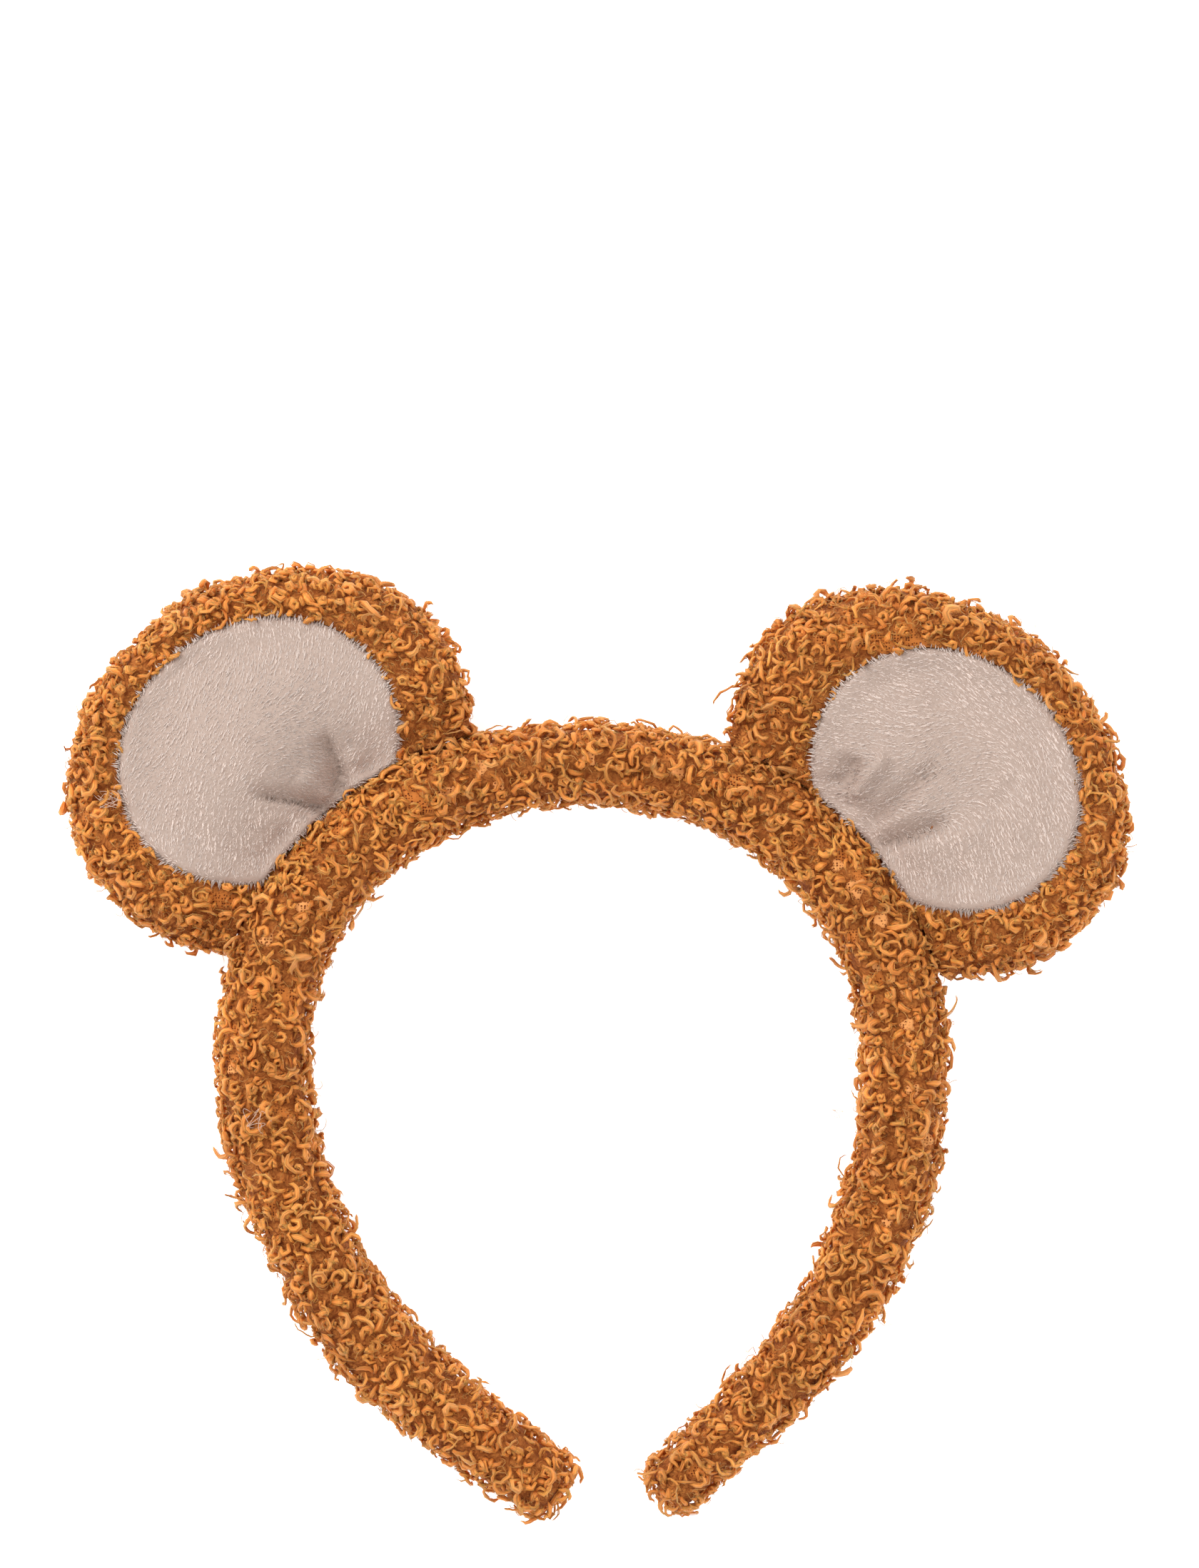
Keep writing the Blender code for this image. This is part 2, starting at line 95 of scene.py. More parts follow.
# Where the band's plush is drawn in along its seam, as paths of (x, y), and the worn spots
# that show the net, as x, y and radius. All are in millimetres.
GROOVES = (
    ((-30.7, 58.3), (-18.4, 59.2), (-6.7, 59.9), (7.5, 58.0), (16.1, 56.7), (26.7, 54.1)),
    ((64.9, 10.9), (66.2, 4.7), (65.6, -2.6), (64.3, -10.1), (63.1, -22.4), (60.7, -31.6),
     (57.5, -42.1)),
    ((-61.5, 18.0), (-64.5, 12.0), (-66.8, 5.5), (-66.5, -4.0)),
)
WORN_SPOTS = (
    (-25.0, 60.5, 1.8), (-32.0, 54.6, 2.0), (-21.2, 56.6, 1.4), (-1.7, 62.3, 1.6),
    (17.6, 59.4, 1.5), (52.0, 39.3, 1.5), (56.0, 34.3, 2.2), (61.3, 27.4, 1.8),
    (60.7, 17.3, 1.3), (66.9, 12.0, 1.3), (67.2, 4.7, 1.6), (68.3, 0.3, 1.4),
    (63.5, -5.1, 1.1), (68.3, -9.5, 1.6), (71.4, -20.2, 1.6), (60.3, -27.3, 1.3),
    (62.8, -38.2, 1.2), (-63.4, 29.9, 1.9), (-71.2, 23.1, 1.7), (-79.0, -5.0, 1.2),
)
# Pale lint caught in the pile: x, y and spread in millimetres, and the number of fibres.
LINT = ((-73.1, -15.9, 2.6, 10), (-104.3, 53.4, 2.6, 14), (52.0, -15.0, 1.6, 3))

# The way that the panels' nap is brushed: a place given as shares of the panel's box (0 to 1
# across and up), and the direction that the pile points to there, in degrees.
BRUSHES = {
    "ear_left_inner": (
        (0.05, 0.45, 50), (0.30, 0.80, 70), (0.55, 0.97, 92), (0.40, 0.45, 66),
        (0.58, 0.52, 30), (0.68, 0.44, -15), (0.86, 0.42, 64), (0.92, 0.65, 80),
        (0.30, 0.15, 84), (0.50, 0.20, 95),
    ),
    "ear_right_inner": (
        (0.08, 0.55, 175), (0.20, 0.80, 165), (0.50, 0.55, 205), (0.72, 0.85, 135),
        (0.92, 0.50, 120), (0.45, 0.10, 95), (0.75, 0.20, 110),
    ),
}

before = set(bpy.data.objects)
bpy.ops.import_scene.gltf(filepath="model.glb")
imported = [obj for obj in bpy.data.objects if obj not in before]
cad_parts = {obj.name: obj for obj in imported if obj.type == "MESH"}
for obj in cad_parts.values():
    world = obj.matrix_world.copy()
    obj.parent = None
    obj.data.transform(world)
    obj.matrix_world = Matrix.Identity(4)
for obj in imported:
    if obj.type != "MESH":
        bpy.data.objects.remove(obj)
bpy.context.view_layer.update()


def srgb(red, green, blue):
    """A colour of 0 to 255 display values, as linear light with full cover."""
    share = np.array([red, green, blue]) / 255
    linear = np.where(share <= 0.04045, share / 12.92, ((share + 0.055) / 1.055) ** 2.4)
    return (*linear.tolist(), 1.0)


# Arrays of points and directions


def unit(vectors):
    """Each vector divided by its length."""
    return vectors / np.maximum(np.linalg.norm(vectors, axis=-1, keepdims=True), 1e-12)


def ease(share):
    """0 to 1 with level ends: 3t^2 - 2t^3."""
    share = np.clip(share, 0, 1)
    return share * share * (3 - 2 * share)


def drift(points, size, seed):
    """Slow noise from -1 to 1: the mean of seven sine waves whose lengths are about size and
    whose directions and phases are random."""
    rng = np.random.default_rng(seed)
    waves = unit(rng.normal(size=(7, 3))) * rng.uniform(0.6, 1.5, (7, 1)) * 2 * math.pi / size
    phase = rng.uniform(0, 2 * math.pi, 7)
    return np.clip(np.sin(points @ waves.T + phase).mean(-1) * 2.2, -1, 1)


def tangents(normals):
    """Two unit vectors across each normal: its cross products with a fixed slanted one."""
    first = unit(np.cross(normals, [0.31, 0.52, 0.79]))
    return first, np.cross(normals, first)


# The solids of the frame


class Surface:
    """A CAD node's triangles with equal corners joined, and their normals."""

    def __init__(self, node):
        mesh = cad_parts[node].data
        loose = np.empty(len(mesh.vertices) * 3)
        mesh.vertices.foreach_get("co", loose)
        loose = loose.reshape(-1, 3)
        mesh.calc_loop_triangles()
        corners = np.empty(len(mesh.loop_triangles) * 3, int)
        mesh.loop_triangles.foreach_get("vertices", corners)
        keys = np.round(loose * 1e6).astype(np.int64)
        _, first, same = np.unique(keys, axis=0, return_index=True, return_inverse=True)
        self.points = loose[first]
        triangles = same.ravel()[corners].reshape(-1, 3)
        whole = (triangles != np.roll(triangles, 1, axis=1)).all(1)
        self.triangles = triangles[whole]
        corner = self.points[self.triangles]
        cross = np.cross(corner[:, 1] - corner[:, 0], corner[:, 2] - corner[:, 0])
        self.areas = np.linalg.norm(cross, axis=1) / 2
        self.face_normals = unit(cross)
        total = np.zeros_like(self.points)
        for k in range(3):
            np.add.at(total, self.triangles[:, k], cross)
        self.normals = unit(total)
        self.tree = BVHTree.FromPolygons(self.points.tolist(), self.triangles.tolist())

    def top(self, x, y):
        """The height of the solid's top there, or NaN beside it."""
        hit = self.tree.ray_cast((x, y, ABOVE_ALL), (0, 0, -1), ABOVE_ALL)[0]
        return hit[2] if hit else math.nan


surfaces = {node: Surface(node) for node in PLUSH_NODES + PANEL_NODES}


def clear_of(node, spots, headings, reach):
    """True where a ray from a spot along its heading meets no other solid within reach."""
    others = [s.tree for name, s in surfaces.items() if name != node]
    free = np.ones(len(spots), bool)
    for k, (spot, heading) in enumerate(zip(spots.tolist(), headings.tolist())):
        free[k] = all(t.ray_cast(spot, heading, reach)[0] is None for t in others)
    return free


def apart_from(node, spots, reach):
    """How far each spot is from the nearest other solid, up to reach."""
    others = [s.tree for name, s in surfaces.items() if name != node]
    near = np.full(len(spots), reach)
    for k, spot in enumerate(spots.tolist()):
        for tree in others:
            found = tree.find_nearest(spot, near[k])[3]
            if found is not None:
                near[k] = min(near[k], found)
    return near


def tree_of(points):
    """The points as a tree that finds the ones near a place."""
    tree = KDTree(len(points))
    for k, point in enumerate(points.tolist()):
        tree.insert(point, k)
    tree.balance()
    return tree


def spread(node, spacing, crowd, rng):
    """Roots over the open skin of a solid: random spots by area, less those that face a
    neighbour, then thinned so that a kept one has no other within its spacing. The spacing
    widens on the side that the headband lies on. Returns places and normals."""
    skin = surfaces[node]
    count = int(crowd * skin.areas.sum() / spacing**2)
    face = rng.choice(len(skin.areas), count, p=skin.areas / skin.areas.sum())
    mix = rng.dirichlet((1, 1, 1), count)[:, :, None]
    spots = (skin.points[skin.triangles[face]] * mix).sum(1)
    normals = unit((skin.normals[skin.triangles[face]] * mix).sum(1))
    flat = skin.face_normals[face]
    normals = unit(np.where((normals * flat).sum(1, keepdims=True) > 0.6, normals, flat))
    free = clear_of(node, spots + flat * 0.02 * MM, flat, 0.6 * MM)
    spots, normals = spots[free], normals[free]
    under = ease((-normals[:, 2] - 0.5) / 0.4) * ease((6 * MM - spots[:, 2]) / (5 * MM))
    apart = spacing * (1 + 1.1 * under)
    tree = tree_of(spots)
    keep = np.ones(len(spots), bool)
    for k, spot in enumerate(spots.tolist()):
        if keep[k]:
            for _, other, _ in tree.find_range(spot, apart[k]):
                if other > k:
                    keep[other] = False
    return spots[keep], normals[keep]


# Meshes from arrays


def packed(values, kind=np.float32):
    """An array as Blender takes it: flat, in memory order and of one kind of number."""
    return np.ascontiguousarray(values, kind).ravel()


def add_mesh(name, points, corners, sizes, material, uv=None, marks=None):
    """A smooth shaded object from points, the point at each face corner, and the number of
    corners of each face. uv is per corner. marks is an RGBA attribute per point."""
    mesh = bpy.data.meshes.new(name)
    mesh.vertices.add(len(points))
    mesh.vertices.foreach_set("co", packed(points))
    mesh.loops.add(len(corners))
    mesh.loops.foreach_set("vertex_index", packed(corners, np.int32))
    mesh.polygons.add(len(sizes))
    starts = np.concatenate([[0], np.cumsum(sizes)[:-1]]).astype(np.int32)
    mesh.polygons.foreach_set("loop_start", starts)
    mesh.update(calc_edges=True)
    if uv is not None:
        layer = mesh.uv_layers.new(name="UVMap")
        layer.data.foreach_set("uv", packed(uv))
    if marks is not None:
        layer = mesh.attributes.new("marks", "FLOAT_COLOR", "POINT")
        layer.data.foreach_set("color", packed(marks))
    mesh.shade_smooth()
    mesh.materials.append(material)
    piece = bpy.data.objects.new(name, mesh)
    bpy.context.scene.collection.objects.link(piece)
    return piece


def tube_faces(rings, sides):
    """Face corners, corner counts and corner UVs of one tapered tube: quads between rings,
    a fan to the tip and a cap over the root. The UV runs round and along the tube."""
    r, s = (a.ravel() for a in np.meshgrid(np.arange(rings - 1), np.arange(sides), indexing="ij"))
    near, after = r * sides + s, r * sides + (s + 1) % sides
    quads = np.stack([near, after, after + sides, near + sides], 1)
    quad_uv = [(s, r), (s + 1, r), (s + 1, r + 1), (s, r + 1)]
    s = np.arange(sides)
    top = np.full(sides, rings - 1)
    last = top * sides
    tips = np.stack([last + s, last + (s + 1) % sides, last + sides], 1)
    tip_uv = [(s, top), (s + 1, top), (s + 0.5, top + 1)]
    cap = s[::-1]
    corners = np.concatenate([quads.ravel(), tips.ravel(), cap])
    sizes = np.concatenate([np.full(len(quads), 4), np.full(sides, 3), [sides]])
    uv = [np.array(part).transpose(2, 0, 1).reshape(-1, 2) for part in (quad_uv, tip_uv)]
    uv = np.concatenate([*uv, np.stack([cap, 0 * cap], 1)]) / [sides, rings]
    return corners, sizes, uv


def square_to(lines, across):
    """Unit vectors at each station of lines: along the line, across it, and square to both."""
    along = unit(np.gradient(lines, axis=1))
    side = unit(across - (across * along).sum(-1, keepdims=True) * along)
    return along, side, np.cross(along, side)


def grow_tubes(lines, across, widths, rings, sides):
    """Points of tapered tubes along lines of points, (tube, station, xyz). Each ring is an
    oval across the line: widths gives its half sizes along the across direction and square
    to it, (tube, station, 2). The last station is the tip."""
    _, side, up = square_to(lines, across)
    angle = np.linspace(0, 2 * math.pi, sides, endpoint=False)
    c, s = np.cos(angle)[:, None], np.sin(angle)[:, None]
    body = lines[:, :rings, None, :]
    body = body + side[:, :rings, None, :] * widths[:, :rings, None, :1] * c
    body = body + up[:, :rings, None, :] * widths[:, :rings, None, 1:] * s
    count = len(lines)
    return np.concatenate([body.reshape(count, rings * sides, 3), lines[:, -1:, :]], 1)


def add_tubes(name, lines, across, widths, sides, marks, material, rng):
    """A piece of many tapered tubes. marks is (tube, station, 4)."""
    count, stations = lines.shape[:2]
    rings = stations - 1
    points = grow_tubes(lines, across, widths, rings, sides)
    points[..., 2] = np.maximum(points[..., 2], FLOOR_CLEARANCE)
    corners, sizes, uv = tube_faces(rings, sides)
    each = points.shape[1]
    first = np.arange(count)[:, None] * each
    shifts = rng.uniform(0, 50, (count, 1, 2)) * [0, 1]
    body = np.repeat(marks[:, :rings], sides, axis=1)
    all_marks = np.concatenate([body, marks[:, -1:]], 1)
    return add_mesh(
        name,
        points.reshape(-1, 3),
        (corners[None] + first).ravel(),
        np.tile(sizes, count),
        material,
        uv=(uv[None] + shifts).reshape(-1, 2),
        marks=all_marks.reshape(-1, 4),
    )


# Curls


def along_lock(stations):
    """The stations' shares of a lock's length, closer together where it curls tightest:
    (k / last)^(1 / 1.4)."""
    return np.linspace(0, 1, stations) ** (1 / 1.4)


def curl_lines(roots, starts, axes, lengths, turns, tightening, rise, stations):
    """Lines that leave their root along starts and curl about axes. Over its length, a
    line's heading turns by turns x share^tightening, so it is stem first and ring last,
    and it slides along its axis at the angle rise, as a corkscrew does."""
    share = along_lock(stations)
    middle = (share[1:] + share[:-1]) / 2
    turn = turns[:, None] * middle ** tightening[:, None]
    third = np.cross(axes, starts)
    heading = np.cos(turn)[..., None] * starts[:, None] + np.sin(turn)[..., None] * third[:, None]
    heading = heading * np.cos(rise)[:, None, None] + axes[:, None] * np.sin(rise)[:, None, None]
    steps = heading * (lengths[:, None] * np.diff(share))[..., None]
    ends = np.cumsum(steps, axis=1)
    return roots[:, None] + np.concatenate([np.zeros_like(ends[:, :1]), ends], 1)


def open_share(node, spots):
    """How free a solid's skin is at each spot: 0 where it is sewn to a neighbour, easing to
    1 at SEWN_REACH from one."""
    start = 0.5 * MM
    return ease((apart_from(node, spots, SEWN_REACH) - start) / (SEWN_REACH - start))


def bearings(normals, azimuth, lean, roll):
    """Where each lock sets off, lean from the skin's normal towards azimuth round it, and the
    axis that it curls about, level with the skin and then rolled about the start. Angles
    are in radians."""
    first, second = tangents(normals)
    combed = np.cos(azimuth)[:, None] * first + np.sin(azimuth)[:, None] * second
    starts = unit(np.cos(lean)[:, None] * normals + np.sin(lean)[:, None] * combed)
    level = np.cross(normals, combed)
    axes = np.cos(roll)[:, None] * level + np.sin(roll)[:, None] * np.cross(starts, level)
    return starts, axes


def near_grooves(spots, normals):
    """How drawn in the pile is at each spot, 1 on a groove to 0 at GROOVE_REACH from it."""
    away = np.full(len(spots), 1.0)
    for groove in GROOVES:
        path = np.array(groove) * MM
        share = np.linspace(0, len(path) - 1, 60)
        fine = np.stack([np.interp(share, np.arange(len(path)), axis) for axis in path.T], 1)
        away = np.minimum(away, np.linalg.norm(spots[:, None, :2] - fine, axis=2).min(1))
    return ease(1 - away / GROOVE_REACH) * (normals[:, 2] > 0.2)


def worn_share(spots, normals):
    """The share of the locks that are gone at each spot: nearly all within a worn spot."""
    worn = np.zeros(len(spots))
    for x, y, radius in WORN_SPOTS:
        away = np.hypot(spots[:, 0] - x * MM, spots[:, 1] - y * MM)
        worn = np.maximum(worn, 0.92 * (away < (radius + 0.5) * MM) * (normals[:, 2] > 0))
    return worn


def over_panels(lines):
    """The share of each line's places that lie above or below an inner panel."""
    flat = lines.reshape(-1, 3).tolist()
    panels = [surfaces[name] for name in PANEL_NODES]
    over = [any(not math.isnan(p.top(x, y)) for p in panels) for x, y, _ in flat]
    return np.array(over).reshape(lines.shape[:2]).mean(1)


def grow_locks(growth):
    """The locks of a plush piece, in parts that each stay a moderate mesh. A lock is a plump
    core that coils in on itself, either in the skin's plane or over and down, with fine
    strands laid over it."""
    rng = np.random.default_rng(growth.seed)
    spots, normals = spread(growth.node, growth.spacing * MM, 9.0, rng)
    drawn_in = near_grooves(spots, normals)
    keep = (rng.uniform(size=len(spots)) > worn_share(spots, normals)) & (drawn_in < 0.8)
    spots, normals, drawn_in = spots[keep], normals[keep], drawn_in[keep]
    order = np.argsort(np.arctan2(spots[:, 0] + 3 * MM, spots[:, 1] + 3 * MM))
    spots, normals, drawn_in = spots[order], normals[order], drawn_in[order]
    count, stations = len(spots), LOCK_STATIONS
    flat = rng.uniform(size=count) < growth.flat
    loose = rng.uniform(size=count) < growth.loose
    stray = rng.uniform(size=count) < growth.stray
    deep = np.where(flat, rng.uniform(0.15, 0.8, count), rng.uniform(0.45, 0.95, count))
    depth = PILE * (deep * open_share(growth.node, spots) + 0.6 * drawn_in) + 0.1 * MM
    roots = spots - normals * depth[:, None]
    azimuth = rng.uniform(0, 2 * math.pi, count)
    lean = np.radians(np.where(flat, rng.uniform(55, 86, count), rng.uniform(15, 60, count)))
    upright = rng.choice([-1, 1], count) * rng.normal(76, 18, count)
    roll = np.radians(np.where(flat, upright, rng.normal(0, 32, count)))
    starts, axes = bearings(normals, azimuth, lean, roll)
    size = growth.size * rng.lognormal(0, 0.14, count)
    lengths = size * rng.uniform(4.4, 6.4, count) * MM * np.where(stray, 1.3, 1)
    turns = np.radians(rng.uniform(250, 450, count))
    turns = turns * np.where(loose, 0.5, 1) * np.where(stray, 0.7, 1)
    tightening = rng.uniform(1.0, 1.5, count)
    lift = np.sign((axes * normals).sum(1) + rng.normal(0, 0.05, count))
    rise = np.radians(rng.uniform(2, 14, count)) * lift
    lines = curl_lines(roots, starts, axes, lengths, turns, tightening, rise, stations)
    clear = (over_panels(lines) < 0.3) | (normals[:, 2] < -0.3)
    taper = np.interp(along_lock(stations), [0, 0.2, 0.5, 0.8, 1], [0.6, 0.95, 1.0, 0.8, 0.45])
    width = size * rng.uniform(0.56, 0.78, count) * MM
    width = width * np.where(stray, 0.5, 1) * np.where(loose, 0.75, 1)
    section = np.where(flat[:, None], [0.68, 0.98], [1.0, 0.66])
    widths = width[:, None, None] * taper[None, :, None] * section[:, None, :]
    widths = widths * rng.uniform(0.76, 1.24, (count, stations, 1))
    lines[:, 1:] += rng.normal(0, 0.13 * MM, (count, stations - 1, 3))
    # Each station's height in the pile, kept as the second mark: the lock finish paints shade deep
    # in the pile and light near its top from it, so locks set deep, as along the grooves, come out
    # darker.
    height = ((lines - spots[:, None]) * normals[:, None]).sum(-1) / PILE
    tint = rng.uniform(size=count)[:, None] * np.ones(stations)
    slow = 0.5 + 0.5 * drift(spots, 24 * MM, 7)[:, None] * np.ones(stations)
    marks = np.stack([tint, np.clip(0.66 + 0.45 * height, 0, 1), slow, np.ones_like(tint)], -1)
    across = np.repeat(axes[:, None], stations, 1)
    parts = math.ceil(count / LOCKS_IN_A_PIECE)
    pieces = []
    for k, chosen in enumerate(np.array_split(np.flatnonzero(clear), parts)):
        tail = f"_{k + 1}" if parts > 1 else ""
        core = (lines[chosen], across[chosen], widths[chosen])
        name = f"{growth.node}_locks{tail}"
        pieces.append(add_tubes(name, *core, LOCK_SIDES, marks[chosen], lock_finish, rng))
        *strand, theirs = strands_over(*core, marks[chosen], STRANDS, rng)
        name = f"{growth.node}_strands{tail}"
        pieces.append(add_tubes(name, *strand, 3, theirs, fibre_finish, rng))
    return pieces


def strands_over(lines, across, widths, marks, each, rng):
    """Fine strands laid over the cores, each core having the same number: each follows its
    core's line at the core's own half width, at an angle round it that drifts from root to
    tip, and runs on past the tip."""
    lines, across = np.repeat(lines, each, 0), np.repeat(across, each, 0)
    widths, marks = np.repeat(widths, each, 0), np.repeat(marks, each, 0).copy()
    count, stations = lines.shape[:2]
    along, side, up = square_to(lines, across)
    share = along_lock(stations)
    angle = rng.uniform(0, 2 * math.pi, (count, 1)) + rng.uniform(-1.8, 1.8, (count, 1)) * share
    off = rng.uniform(0.85, 1.25, (count, 1)) * ease(share / 0.3)
    moved = lines + side * (np.cos(angle) * off * widths[..., 0])[..., None]
    moved = moved + up * (np.sin(angle) * off * widths[..., 1])[..., None]
    moved = moved + rng.normal(0, 0.06 * MM, moved.shape)
    moved[:, -1] += (along[:, -1] * rng.uniform(0.1, 0.9, (count, 1))) * MM
    taper = np.interp(share, [0, 0.3, 0.7, 1], [0.7, 1.0, 0.85, 0.4])
    thin = rng.uniform(0.09, 0.16, (count, 1, 1)) * MM * taper[None, :, None] * np.ones(2)
    # Painted highlight: the strands come out a little lighter than their cores, in tone and on the
    # height ramp, with random tone besides.
    marks[..., 0] = np.clip(marks[..., 0] + rng.normal(0.15, 0.25, (count, 1)), 0, 1)
    marks[..., 1] = np.clip(marks[..., 1] + 0.06, 0, 1)
    return moved, across, thin, marks


def grow_wisps(count, seed):
    """Single fine fibres that lie in the pile all over, each a loose curl."""
    rng = np.random.default_rng(seed)
    areas = np.array([surfaces[n].areas.sum() for n in PLUSH_NODES])
    spots, normals = [], []
    for node, share in zip(PLUSH_NODES, areas / areas.sum()):
        some, theirs = spread(node, 1.6 * MM, 3.0, rng)
        pick = rng.permutation(len(some))[: int(count * share)]
        spots.append(some[pick])
        normals.append(theirs[pick])
    spots, normals = np.concatenate(spots), np.concatenate(normals)
    up = normals[:, 2] > -0.75
    spots, normals = spots[up], normals[up]
    count, stations = len(spots), 6
    azimuth = rng.uniform(0, 2 * math.pi, count)
    lean = np.radians(rng.uniform(45, 88, count))
    roll = np.radians(rng.normal(0, 60, count))
    starts, axes = bearings(normals, azimuth, lean, roll)
    lengths = rng.uniform(3.0, 6.0, count) * MM
    turns = np.radians(rng.uniform(150, 500, count))
    roots = spots - normals * rng.uniform(0.0, 0.5, (count, 1)) * MM
    tightening = rng.uniform(0.9, 1.5, count)
    rise = np.radians(rng.uniform(-30, 30, count))
    lines = curl_lines(roots, starts, axes, lengths, turns, tightening, rise, stations)
    taper = np.linspace(1, 0.5, stations)[None, :, None]
    widths = rng.uniform(0.06, 0.11, (count, 1, 1)) * MM * taper * np.ones(2)
    # Painted light: the wisps take a place near the light top of the height ramp, with random tone
    # in the first mark.
    marks = np.ones((count, stations, 4)) * np.array([0.6, 0.95, 0.6, 1.0])
    marks[..., 0] = rng.uniform(0.3, 1, (count, 1))
    across = np.repeat(axes[:, None], stations, 1)
    return add_tubes("loose_fibres", lines, across, widths, 3, marks, fibre_finish, rng)


# The knitted ground under the locks


def add_ground(node):
    """The plush's knitted ground: the solid's skin drawn in by the pile's depth, less where
    it meets its neighbours."""
    skin = surfaces[node]
    share = open_share(node, skin.points)
    points = skin.points - skin.normals * (PILE * share)[:, None]
    points[:, 2] = np.maximum(points[:, 2], 0.6 * MM)
    sizes = np.full(len(skin.triangles), 3)
    piece = add_mesh(f"{node}_ground", points, skin.triangles.ravel(), sizes, ground_finish)
    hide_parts(node)
    return piece


def add_worn_spots():
    """The net seen where the pile is worn: small round pieces laid just over the ground."""
    points, corners = [], []
    spokes, rings = 14, 4
    for x, y, radius in WORN_SPOTS:
        base = sum(len(p) for p in points)
        turn = np.linspace(0, 2 * math.pi, spokes, endpoint=False)
        wave = 1 + 0.18 * np.sin(3 * turn + x) + 0.1 * np.sin(5 * turn + y)
        reach = np.arange(1, rings + 1)[:, None] / rings * radius * wave
        place = np.stack([x + reach * np.cos(turn), y + reach * np.sin(turn)], -1)
        place = np.concatenate([place.reshape(-1, 2), [[x, y]]]) * MM
        height = np.array([surfaces["band"].top(*spot) for spot in place.tolist()])
        height = np.nan_to_num(height, nan=8 * MM)[:, None] - PILE + 0.45 * MM
        height[-1 - spokes : -1] -= 0.7 * MM
        points.append(np.concatenate([place, height], 1))
        s = np.arange(spokes)
        for r in range(rings - 1):
            low, high = base + r * spokes, base + (r + 1) * spokes
            after = (s + 1) % spokes
            corners.append(np.stack([low + s, high + s, high + after], 1))
            corners.append(np.stack([low + s, high + after, low + after], 1))
        middle = np.full(spokes, base + rings * spokes)
        corners.append(np.stack([middle, base + s, base + (s + 1) % spokes], 1))
    corners = np.concatenate(corners)
    sizes = np.full(len(corners), 3)
    return add_mesh("worn_net", np.concatenate(points), corners.ravel(), sizes, net_finish)


def grow_lint(seed):
    """Pale lint on the pile: a few fine bent fibres in each place."""
    rng = np.random.default_rng(seed)
    lines, across = [], []
    t = np.linspace(0, 1, 7)[:, None]
    for x, y, reach, count in LINT:
        for _ in range(count):
            start, end = rng.normal((x, y), reach * 0.5, (2, 2)) * MM
            bend = rng.normal(0, 1.2 * MM, 2)
            path = start * (1 - t) + end * t + bend * 4 * t * (1 - t)
            top = 0.0
            for spot in path.tolist():
                for skin in surfaces.values():
                    top = max(top, skin.top(*spot))
            level = np.full((7, 1), top + rng.uniform(0.5, 1.1) * MM)
            lines.append(np.concatenate([path, level], 1))
            across.append(np.tile([0.0, 0.0, 1.0], (7, 1)))
    lines, across = np.array(lines), np.array(across)
    widths = np.full((*lines.shape[:2], 2), 0.06 * MM)
    marks = np.ones((*lines.shape[:2], 4))
    return add_tubes("lint", lines, across, widths, 3, marks, lint_finish, rng)


# The inner panels


